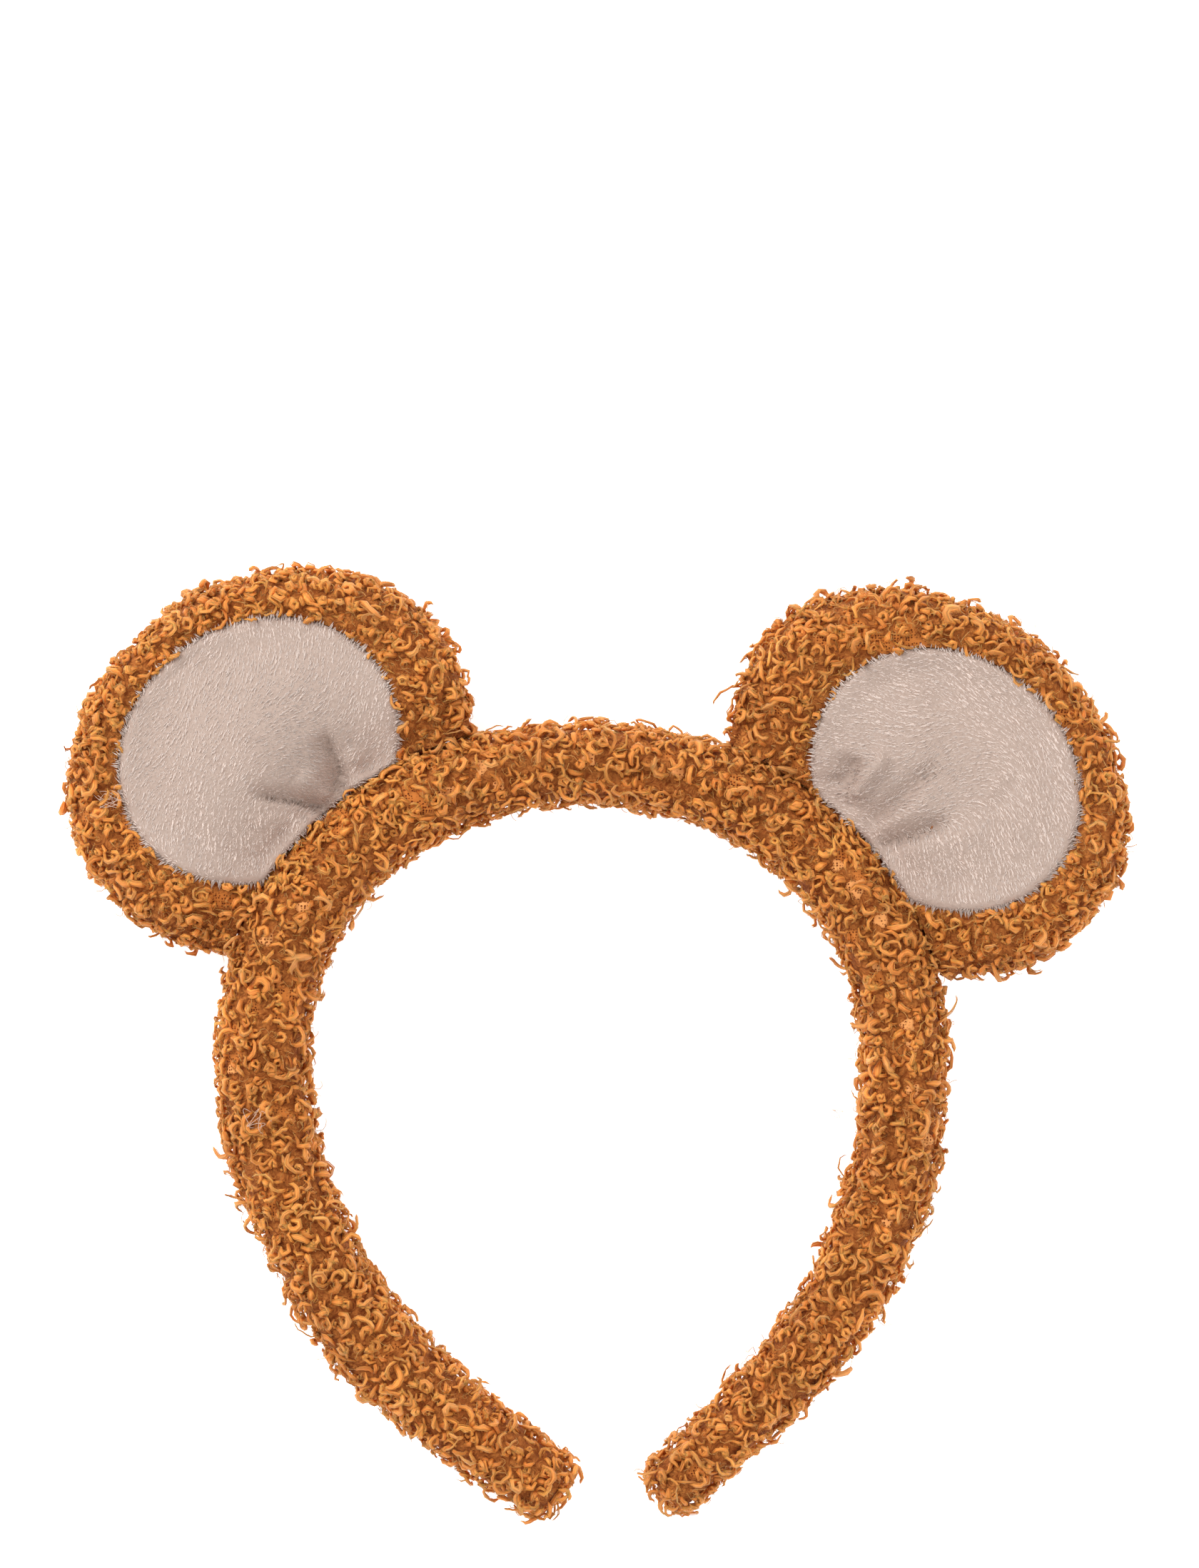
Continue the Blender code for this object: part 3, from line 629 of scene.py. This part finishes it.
class Panel:
    """An inner panel's front surface on a polar grid, read off its solid, evened and creased."""

    spokes, rings = 192, 44

    def __init__(self, node):
        self.node = node
        self.skin = surfaces[node]
        low, high = self.skin.points.min(0), self.skin.points.max(0)
        self.low, self.high = low, high
        self.pole = (low + high)[:2] / 2
        angle = np.linspace(0, 2 * math.pi, self.spokes, endpoint=False)
        self.ray = np.stack([np.cos(angle), np.sin(angle)], 1)
        reach = np.array([self.edge_along(ray) for ray in self.ray])
        share = np.linspace(0, 1, self.rings + 1)[1:]
        self.radius = reach[:, None] * share[None, :]
        self.place = self.pole + self.radius[..., None] * self.ray[:, None, :]
        height = np.array([[self.skin.top(x, y) for x, y in row] for row in self.place.tolist()])
        height[:, -1] = np.where(np.isnan(height[:, -1]), height[:, -2], height[:, -1])
        height = self.evened(height, share)
        for _ in range(10):
            height = self.soften(height)
        height = height + 1.2 * MM * ease((share - 0.78) / 0.22)[None, :]
        height = height + self.creased()
        self.points = np.concatenate([self.place, height[..., None]], 2)

    def edge_along(self, ray):
        """How far out the panel's top reaches along a ray, to 0.1 mm."""
        steps = np.arange(5, 40, 0.1) * MM
        for step in steps:
            if math.isnan(self.skin.top(*(self.pole + ray * step))):
                return step + 0.3 * MM
        return steps[-1]

    def creased(self):
        """What the folds add to the height: each one's rise x exp(-(distance / width)^2)
        with its own width to the left and right, fading out at both ends of its path,
        which is the parabola through its places."""
        added = np.zeros(self.place.shape[:2])
        t = np.linspace(0, 1, 25)[:, None]
        for *places, left, right, rise in CREASES[self.node]:
            start, middle, end = np.array(places) * MM
            path = start * (1 - t) * (1 - 2 * t) + middle * 4 * t * (1 - t) + end * t * (2 * t - 1)
            run = np.gradient(path, axis=0)
            away = np.linalg.norm(self.place[:, :, None] - path, axis=-1)
            near = away.argmin(-1)
            off = self.place - path[near]
            side = run[near, 0] * off[..., 1] - run[near, 1] * off[..., 0]
            width = np.where(side > 0, left, right) * MM
            fade = ease(t[near, 0] / 0.3 + 0.1) * ease((1 - t[near, 0]) / 0.3 + 0.1)
            added += rise * MM * fade * np.exp(-((away.min(-1) / width) ** 2))
        return added

    def evened(self, height, share):
        """The heights as a plain cushion: the quartic surface in x and y that fits them
        best, easing to the true heights towards the edge."""
        across, up = ((self.place - self.pole) / (30 * MM)).transpose(2, 0, 1)
        terms = np.stack([across**i * up**j for i in range(5) for j in range(5 - i)], -1)
        best = np.linalg.lstsq(terms.reshape(-1, terms.shape[-1]), height.ravel(), rcond=None)[0]
        return terms @ best + (height - terms @ best) * ease((share - 0.82) / 0.18)[None, :]

    def soften(self, height):
        """Each height moved half way to the mean of its four neighbours on the grid."""
        around = (np.roll(height, 1, 0) + np.roll(height, -1, 0)) / 2
        middle = np.full((self.spokes, 1), height[:, 0].mean())
        inner = np.concatenate([middle, height[:, :-1]], 1)
        outer = np.concatenate([height[:, 1:], height[:, -1:]], 1)
        mean = (around + (inner + outer) / 2) / 2
        mean[:, -1] = height[:, -1]
        return (height + mean) / 2


def panel_piece(panel):
    """The panel as a closed sheet: its front, a rolled edge, and a plain back."""
    spokes, rings = panel.spokes, panel.rings
    front = panel.points.copy()
    share = np.linspace(0, 1, rings + 1)[1:]
    front[..., 2] -= 0.5 * MM * ease((share - 0.95) / 0.05)[None, :] ** 2
    lip, hem, inside = (front[:, -1].copy() for _ in range(3))
    lip[:, :2] += panel.ray * 0.15 * MM
    lip[:, 2] -= 0.8 * MM
    hem[:, 2] -= PANEL_DEPTH
    inside[:, :2] = (inside[:, :2] + panel.pole) / 2
    inside[:, 2] = np.minimum(hem[:, 2], front[:, rings // 2, 2] - PANEL_DEPTH)
    rows = [front[:, k] for k in range(rings)] + [lip, hem, inside]
    points = np.concatenate(rows)
    top = np.array([[*panel.pole, front[:, 0, 2].mean()]])
    bottom = np.array([[*panel.pole, rows[-1][:, 2].mean()]])
    count = len(points)
    r, s = np.meshgrid(np.arange(len(rows) - 1), np.arange(spokes), indexing="ij")
    r, s = r.ravel(), s.ravel()
    after = (s + 1) % spokes
    near, far = r * spokes + s, r * spokes + after
    quads = np.stack([near, near + spokes, far + spokes, far], 1)
    s = np.arange(spokes)
    cap = np.stack([np.full(spokes, count), s, (s + 1) % spokes], 1)
    last = (len(rows) - 1) * spokes
    base = np.stack([np.full(spokes, count + 1), last + (s + 1) % spokes, last + s], 1)
    corners = np.concatenate([quads.ravel(), cap.ravel(), base.ravel()])
    sizes = np.concatenate([np.full(len(quads), 4), np.full(2 * spokes, 3)])
    points = np.concatenate([points, top, bottom])
    piece = add_mesh(f"{panel.node}_velour", points, corners, sizes, velour_finish)
    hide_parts(panel.node)
    return piece


def headings_at(panel, places):
    """The brushed direction at places, in radians: the mean of the panel's brush marks
    weighted by the inverse fourth power of the distance, as unit vectors."""
    across, up, heading = np.array(BRUSHES[panel.node]).T
    spots = np.stack([across, up], 1) * (panel.high - panel.low)[:2] + panel.low[:2]
    angle = np.radians(heading)
    apart = np.linalg.norm(places[:, None] - spots[None], axis=2)
    weight = 1 / (apart + 3 * MM) ** 4
    x, y = (weight * np.cos(angle)).sum(1), (weight * np.sin(angle)).sum(1)
    return np.arctan2(y, x)


def tufts_near(spots, heading, spacing, rng):
    """The middle of the tuft that each spike belongs to, how far the spike's tip is drawn to
    the tuft's own line, and how near the tuft's border it stands, 0 to 1. Tufts are random
    spikes at that mean spacing, and a spike takes the nearest one, across the brushed
    direction counting four times as much."""
    area = np.ptp(spots[:, 0]) * np.ptp(spots[:, 1]) * 0.78
    chosen = rng.permutation(len(spots))[: int(area / (0.6 * spacing**2))]
    tree = tree_of(spots[chosen])
    near = np.array([[k for _, k, _ in tree.find_n(spot, 9)] for spot in spots.tolist()])
    off = spots[chosen][near] - spots[:, None]
    c, s = np.cos(heading)[:, None], np.sin(heading)[:, None]
    along = off[..., 0] * c + off[..., 1] * s
    across = off[..., 1] * c - off[..., 0] * s
    far = along**2 + 16 * across**2
    order = np.sort(far, axis=1)
    margin = ease(1 - (np.sqrt(order[:, 1]) - np.sqrt(order[:, 0])) / (0.9 * spacing))
    middle = spots[chosen][near[np.arange(len(spots)), far.argmin(1)]]
    return middle, rng.uniform(0.55, 0.85, len(spots)), margin


def grow_nap(panel, count, seed):
    """The panel's short pile: small leaning spikes, brushed along the headings. A spike has
    a flat triangle for a root and one tip, which is drawn to its tuft's line."""
    rng = np.random.default_rng(seed)
    grid = panel.points
    spokes, rings = grid.shape[:2]
    inner, outer = grid[:, :-1], grid[:, 1:]
    area = np.linalg.norm(np.cross(outer - inner, np.roll(inner, -1, 0) - inner), axis=-1)
    cell = rng.choice(area.size, count, p=(area / area.sum()).ravel())
    s, r = np.unravel_index(cell, area.shape)
    u, v = rng.uniform(size=(2, count, 1))
    after = (s + 1) % spokes
    low = grid[s, r] * (1 - u) + grid[after, r] * u
    high = grid[s, r + 1] * (1 - u) + grid[after, r + 1] * u
    spots = low * (1 - v) + high * v
    normals = unit(np.cross(grid[s, r + 1] - grid[s, r], grid[after, r] - grid[s, r]))
    normals = np.where(normals[:, 2:] < 0, -normals, normals)
    heading = headings_at(panel, spots[:, :2])
    heading = heading + 0.15 * drift(spots, 7 * MM, seed + 1) + rng.normal(0, 0.08, count)
    flat = np.stack([np.cos(heading), np.sin(heading), np.zeros(count)], 1)
    outward = np.concatenate([spots[:, :2] - panel.pole, np.zeros((count, 1))], 1)
    rim = ease(((r + v[:, 0]) / (rings - 1) - 0.93) / 0.07)[:, None]
    flat = flat * (1 - 0.75 * rim) + unit(outward) * 1.1 * rim
    lay = unit(flat - (flat * normals).sum(1, keepdims=True) * normals)
    tuft, pull, margin = tufts_near(spots, heading, TUFT_SPACING, rng)
    lean = np.radians(rng.normal(60, 5, (count, 1)) + 4 * drift(spots, 5 * MM, seed + 2)[:, None])
    ahead = np.sin(lean) * lay + np.cos(lean) * normals
    side = np.cross(normals, lay)
    length = rng.uniform(1.5, 2.3, (count, 1)) * (1 - 0.35 * margin[:, None]) * MM
    width = rng.uniform(0.13, 0.22, (count, 1)) * MM
    root = spots - normals * 0.3 * MM - ahead * 0.2 * MM
    back = np.cross(side, ahead)
    base = [root + side * width, root - side * width]
    base.append(root + back * width * 0.6 + ahead * 0.3 * MM)
    tip = root + ahead * length + side * (pull * (side * (tuft - spots)).sum(1))[:, None]
    points = np.stack([*base, tip], 1)
    faces = np.array([[0, 1, 2], [0, 3, 1], [1, 3, 2], [2, 3, 0]])
    one, two, three = points[0, 1:] - points[0, 0]
    if one @ np.cross(two, three) > 0:  # the faces would point inwards
        faces = faces[:, ::-1]
    corners = faces.ravel()[None] + 4 * np.arange(count)[:, None]
    # Painted shade: spikes near a tuft's border are darker, with random tone besides.
    tint = np.repeat(rng.uniform(size=(count, 1)) * 0.5 + 0.5 * (1 - margin[:, None]), 4, 1)
    slow = 0.5 + 0.5 * np.repeat(drift(spots, 9 * MM, seed + 3)[:, None], 4, 1)
    # The second mark is 1 at each spike's tip, for the painted light at the tips and painted shade
    # at the roots.
    tips = np.tile([0.0, 0.0, 0.15, 1.0], (count, 1))
    marks = np.stack([tint, tips, slow, np.ones_like(tint)], -1)
    return add_mesh(
        f"{panel.node}_nap",
        points.reshape(-1, 3),
        corners.ravel(),
        np.full(count * 4, 3),
        nap_finish,
        marks=marks.reshape(-1, 4),
    )


# Finishes


def set_inputs(tree, made, inputs):
    """A node's inputs, each set to a value or linked from a socket."""
    for key, value in inputs.items():
        if isinstance(value, bpy.types.NodeSocket):
            tree.links.new(value, made.inputs[key])
        else:
            made.inputs[key].default_value = value
    return made


def node(tree, kind, inputs=None, **settings):
    """A shader node with its settings and inputs set."""
    made = tree.nodes.new(kind)
    for key, value in settings.items():
        setattr(made, key, value)
    return set_inputs(tree, made, inputs or {})


def effect(name, inputs, outputs):
    """A new shader node group, the sockets that its inputs arrive at, and those that its
    outputs leave by. An input without a value is a vector, and all the rest are numbers."""
    group = bpy.data.node_groups.new(name, "ShaderNodeTree")
    for title, value in inputs.items():
        kind = "NodeSocketVector" if value is None else "NodeSocketFloat"
        socket = group.interface.new_socket(title, in_out="INPUT", socket_type=kind)
        if value is not None:
            socket.default_value = value
    for title in outputs:
        group.interface.new_socket(title, in_out="OUTPUT", socket_type="NodeSocketFloat")
    inward = group.nodes.new("NodeGroupInput").outputs
    return group, inward, group.nodes.new("NodeGroupOutput").inputs


def use(tree, group, inputs):
    """The outputs of a group placed in a material with its own values."""
    return node(tree, "ShaderNodeGroup", inputs, node_tree=group).outputs


def math_of(tree, how, first, second=0.0, third=0.0):
    """The result socket of a Math node."""
    return node(tree, "ShaderNodeMath", {0: first, 1: second, 2: third}, operation=how).outputs[0]


def mixed(tree, factor, first, second):
    """The colour socket of a Mix node."""
    inputs = {0: factor, 6: first, 7: second}
    return node(tree, "ShaderNodeMix", inputs, data_type="RGBA").outputs[2]


def ranged(tree, value, low, high, start=0.0, end=1.0, **settings):
    """A value brought from low..high to start..end, and kept between them."""
    inputs = {"Value": value, "From Min": low, "From Max": high, "To Min": start, "To Max": end}
    return node(tree, "ShaderNodeMapRange", inputs, **settings).outputs[0]


def noise(tree, place, scale, detail, roughness=0.5):
    """The value of a noise texture at a place."""
    inputs = {"Vector": place, "Scale": scale, "Detail": detail, "Roughness": roughness}
    return node(tree, "ShaderNodeTexNoise", inputs).outputs[0]


def bumped(tree, height, strength, depth):
    """The normal of a surface that the height raises by up to depth."""
    inputs = {"Height": height, "Strength": strength, "Distance": depth}
    return node(tree, "ShaderNodeBump", inputs).outputs[0]


def make_streaks():
    """Fine fibres side by side: noise in a round coordinate, (cos, sin) of the place round
    the strand, drawn out along it and stretched to the full 0 to 1."""
    inputs = {"Vector": None, "Around": 2.4, "Along": 2.0}
    group, inward, outward = effect("fibre streaks", inputs, ["Height"])
    place = node(group, "ShaderNodeSeparateXYZ", {0: inward["Vector"]})
    turn = math_of(group, "MULTIPLY", place.outputs[0], 2 * math.pi)
    x = math_of(group, "MULTIPLY", math_of(group, "COSINE", turn), inward["Around"])
    y = math_of(group, "MULTIPLY", math_of(group, "SINE", turn), inward["Around"])
    z = math_of(group, "MULTIPLY", place.outputs[1], inward["Along"])
    drawn = node(group, "ShaderNodeCombineXYZ", {0: x, 1: y, 2: z}).outputs[0]
    fine = ranged(group, noise(group, drawn, 1.0, 2.0, 0.55), 0.32, 0.68)
    group.links.new(fine, outward["Height"])
    return group


def make_net():
    """A fine knitted net: round holes between yarns, from the distance to the nearest cell
    middle, and the yarns' height."""
    inputs = {"Vector": None, "Mesh Size": NET_MESH}
    group, inward, outward = effect("knitted net", inputs, ["Hole", "Height"])
    scale = math_of(group, "DIVIDE", 1.0, inward["Mesh Size"])
    inputs = {"Vector": inward["Vector"], "Scale": scale, "Randomness": 0.55}
    cells = node(group, "ShaderNodeTexVoronoi", inputs)
    hole = ranged(group, cells.outputs["Distance"], 0.26, 0.4, 1.0, 0.0)
    group.links.new(hole, outward["Hole"])
    group.links.new(math_of(group, "SUBTRACT", 1.0, hole), outward["Height"])
    return group


def make_swirls():
    """Curls matted together: domes round scattered middles, each wound with fibres that
    spiral about it. The fibres are noise over the distance plus a share of the turn, the
    turn itself as (cos, sin), and the dome's own number."""
    inputs = {"Vector": None, "Curl Size": 2.6 * MM, "Fibres": 9.0}
    group, inward, outward = effect("matted swirls", inputs, ["Dome", "Fibre"])
    vector = inward["Vector"]
    scale = math_of(group, "DIVIDE", 1.0, inward["Curl Size"])
    cells = node(group, "ShaderNodeTexVoronoi", {"Vector": vector, "Scale": scale}).outputs
    inputs = {0: vector, 1: cells["Position"]}
    near = node(group, "ShaderNodeVectorMath", inputs, operation="SUBTRACT").outputs[0]
    part = node(group, "ShaderNodeSeparateXYZ", {0: near}).outputs
    angle = math_of(group, "ARCTAN2", part[1], part[0])
    own = node(group, "ShaderNodeSeparateColor", {0: cells["Color"]}).outputs[0]
    out = math_of(group, "MULTIPLY_ADD", angle, 0.11, cells["Distance"])
    ring = math_of(group, "MULTIPLY", out, inward["Fibres"])
    x = math_of(group, "MULTIPLY", math_of(group, "COSINE", angle), 0.8)
    number = math_of(group, "MULTIPLY", own, 40.0)
    y = math_of(group, "MULTIPLY_ADD", math_of(group, "SINE", angle), 0.8, number)
    wound = node(group, "ShaderNodeCombineXYZ", {0: ring, 1: x, 2: y}).outputs[0]
    dome = ranged(group, cells["Distance"], 0.1, 0.6, 1.0, 0.0, interpolation_type="SMOOTHSTEP")
    group.links.new(dome, outward["Dome"])
    fibre = ranged(group, noise(group, wound, 1.0, 2.0), 0.32, 0.68)
    group.links.new(fibre, outward["Fibre"])
    return group


streaks = make_streaks()
net = make_net()
swirls = make_swirls()


def blank(name):
    """(material, tree, its Principled BSDF) of a new material."""
    material = bpy.data.materials.new(name)
    material.use_nodes = True
    tree = material.node_tree
    return material, tree, tree.nodes["Principled BSDF"]


def object_place(tree):
    """The place on the piece, in its own coordinates."""
    return node(tree, "ShaderNodeTexCoord").outputs["Object"]


def marks_of(tree):
    """The three value sockets of the piece's marks."""
    read = node(tree, "ShaderNodeAttribute", attribute_name="marks", attribute_type="GEOMETRY")
    return node(tree, "ShaderNodeSeparateColor", {0: read.outputs["Color"]}).outputs


def make_lock_finish(name, scatter):
    """Caramel-brown locks with painted shade and light by height in the pile: darker at the root,
    deep in the pile, and lighter towards the top of the pile, where the light falls. Over that
    come a slow change of tone over the plush and fine fibres along each lock. Light spreads
    through them as far as scatter."""
    material, tree, shader = blank(name)
    tint, height, slow = marks_of(tree)[:3]
    uv = node(tree, "ShaderNodeUVMap", uv_map="UVMap").outputs[0]
    fibres = use(tree, streaks, {"Vector": uv, "Around": 2.6, "Along": 2.2})["Height"]
    # Painted shade and light: the ramp is darkest for the deepest places in the pile and lighter
    # towards its top.
    ramp = node(tree, "ShaderNodeValToRGB", {0: height})
    stops = ramp.color_ramp.elements
    stops[0].position, stops[0].color = 0.0, srgb(212, 120, 50)
    stops[1].position, stops[1].color = 1.0, srgb(226, 155, 86)
    stops.new(0.62).color = srgb(236, 151, 72)
    shade = math_of(tree, "MULTIPLY_ADD", fibres, 0.6, 0.68)
    lot = math_of(tree, "MULTIPLY_ADD", tint, 0.2, 0.9)
    field = math_of(tree, "MULTIPLY_ADD", slow, 0.16, 0.92)
    value = math_of(tree, "MULTIPLY", math_of(tree, "MULTIPLY", shade, lot), field)
    inputs = {"Value": value, "Color": ramp.outputs[0]}
    tone = node(tree, "ShaderNodeHueSaturation", inputs).outputs[0]
    set_inputs(tree, shader, {
        "Base Color": tone,
        "Normal": bumped(tree, fibres, 0.8, 0.14 * MM),
        "Roughness": 0.52,
        "Specular IOR Level": 0.25,
        "Subsurface Weight": 0.6,
        "Subsurface Radius": (1.0, 0.62, 0.4),
        "Subsurface Scale": scatter,
    })
    return material


def make_ground_finish():
    """The backing seen between the locks: curls matted down into it, opening onto a fine knitted
    net in a few spots. Both carry painted shade: the curls are darker where their relief is low,
    between domes and fibres, and the net is dark in its holes."""
    material, tree, shader = blank("plush ground")
    place = object_place(tree)
    knit = use(tree, net, {"Vector": place, "Mesh Size": NET_MESH})
    mat = use(tree, swirls, {"Vector": place, "Curl Size": 2.4 * MM, "Fibres": 5.0})
    bare = ranged(tree, noise(tree, place, 110.0, 1.0), 0.6, 0.66)
    dome = math_of(tree, "MULTIPLY", mat["Dome"], 0.4)
    raised = math_of(tree, "MULTIPLY_ADD", mat["Fibre"], 0.6, dome)
    # Painted shade: the matted curls are darker where their relief is low, between domes and
    # fibres.
    curls = mixed(tree, raised, srgb(124, 58, 16), srgb(216, 136, 66))
    # Painted shade: the net is dark in its holes.
    netting = mixed(tree, knit["Hole"], srgb(206, 124, 56), srgb(110, 50, 14))
    yarns = math_of(tree, "MULTIPLY", knit["Height"], 0.3)
    relief = node(tree, "ShaderNodeMix", {0: bare, 2: raised, 3: yarns}).outputs[0]
    set_inputs(tree, shader, {
        "Base Color": mixed(tree, bare, curls, netting),
        "Normal": bumped(tree, relief, 0.9, 0.7 * MM),
        "Roughness": 0.85,
        "Specular IOR Level": 0.2,
    })
    return material


def make_net_finish():
    """The fine knitted net where the pile is worn, with painted shade: dark in its holes."""
    material, tree, shader = blank("plush net")
    place = object_place(tree)
    knit = use(tree, net, {"Vector": place, "Mesh Size": 1.1 * NET_MESH})
    # Painted shade: the net's holes are dark.
    set_inputs(tree, shader, {
        "Base Color": mixed(tree, knit["Hole"], srgb(232, 158, 92), srgb(120, 56, 18)),
        "Normal": bumped(tree, knit["Height"], 0.8, 0.2 * MM),
        "Roughness": 0.8,
        "Specular IOR Level": 0.2,
    })
    return material


def make_velour_finish():
    """The ground of the short pile: matt grey-beige with a fine grain, painted darker than the nap
    as the shade between its tufts.
    """
    material, tree, shader = blank("velour ground")
    place = object_place(tree)
    grain = noise(tree, place, 1800.0, 3.0)
    # Painted shade: the ground is darker than the nap that stands on it.
    set_inputs(tree, shader, {
        "Base Color": mixed(tree, grain, srgb(152, 130, 117), srgb(196, 176, 164)),
        "Normal": bumped(tree, grain, 0.5, 0.2 * MM),
        "Roughness": 0.9,
    })
    return material


def make_nap_finish():
    """The short pile itself: grey-beige, with painted shade and light: darker at the roots,
    lighter at the tips, and darker at the borders of the tufts.
    """
    material, tree, shader = blank("velour nap")
    tint, tip, slow = marks_of(tree)[:3]
    # Painted shade and light: each spike is darker at its root and lighter at its tip.
    lit = mixed(tree, tip, srgb(190, 167, 153), srgb(252, 235, 225))
    # The tone mark holds random tone and painted shade at the tufts' borders.
    shade = math_of(tree, "MULTIPLY_ADD", tint, 0.36, 0.86)
    field = math_of(tree, "MULTIPLY_ADD", slow, 0.08, 0.96)
    inputs = {"Value": math_of(tree, "MULTIPLY", shade, field), "Color": lit}
    set_inputs(tree, shader, {
        "Base Color": node(tree, "ShaderNodeHueSaturation", inputs).outputs[0],
        "Roughness": 0.6,
        "Specular IOR Level": 0.3,
        "Sheen Weight": 0.2,
        "Sheen Roughness": 0.4,
        "Sheen Tint": srgb(255, 235, 222),
    })
    return material


def make_plain(name, inputs):
    """A material that is the same all over."""
    material, tree, shader = blank(name)
    set_inputs(tree, shader, inputs)
    return material


lock_finish = make_lock_finish("plush locks", 0.9 * MM)
fibre_finish = make_lock_finish("plush fibres", 0.4 * MM)
ground_finish = make_ground_finish()
velour_finish = make_velour_finish()
nap_finish = make_nap_finish()
net_finish = make_net_finish()
lint_finish = make_plain("pale lint", {"Base Color": srgb(236, 206, 184), "Roughness": 0.6})


def dress():
    """Every piece of the headband, riding on its one body."""
    for name in PLUSH_NODES:
        ground = add_ground(name)
        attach(ground, "root")
    for growth in GROWTHS:
        for piece in grow_locks(growth):
            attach(piece, "root")
    for piece in (grow_wisps(LOOSE_FIBRES, 71), add_worn_spots(), grow_lint(97)):
        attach(piece, "root")
    for name in PANEL_NODES:
        panel = Panel(name)
        front = panel_piece(panel)
        for piece in (front, grow_nap(panel, NAP_SPIKES, 83)):
            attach(piece, "root")


def area_light(name, place, aim, size, power):
    """A soft square light at a place, turned towards the aim."""
    light = bpy.data.lights.new(name, "AREA")
    light.shape, light.size, light.energy = "SQUARE", size, power
    item = bpy.data.objects.new(name, light)
    bpy.context.scene.collection.objects.link(item)
    item.location = place
    item.rotation_euler = (Vector(aim) - Vector(place)).to_track_quat("-Z", "Y").to_euler()


def set_studio():
    """A pale floor, soft light mostly from the crown's side, and the camera straight above,
    at the photograph's framing."""
    scene = bpy.context.scene
    scene.view_settings.view_transform = "Standard"
    mesh = bpy.data.meshes.new("floor")
    mesh.from_pydata([(-4, -4, 0), (4, -4, 0), (4, 4, 0), (-4, 4, 0)], [], [(0, 1, 2, 3)])
    mesh.materials.append(make_plain("studio floor", {
        "Base Color": (0.93, 0.93, 0.93, 1),
        "Emission Color": (1, 1, 1, 1),
        "Emission Strength": 0.7,
        "Roughness": 1.0,
        "Specular IOR Level": 0.0,
    }))
    floor = bpy.data.objects.new("floor", mesh)
    scene.collection.objects.link(floor)
    world = bpy.data.worlds.new("studio")
    scene.world = world
    world.use_nodes = True
    world.node_tree.nodes["Background"].inputs[0].default_value = (1, 1, 1, 1)
    world.node_tree.nodes["Background"].inputs[1].default_value = 0.78
    area_light("key", (-0.55, 0.62, 0.8), (0, 0.02, 0), 0.7, 9.0)
    area_light("fill", (0.8, -0.2, 0.9), (0, 0, 0), 0.9, 3.0)
    lens = bpy.data.cameras.new("camera")
    lens.lens = 100
    lens.sensor_width = 36
    camera = bpy.data.objects.new("camera", lens)
    scene.collection.objects.link(camera)
    camera.location = (0.0005, 0.0568, 0.9635)
    lens.clip_start, lens.clip_end = 0.01, 20
    scene.camera = camera


dress()
set_studio()
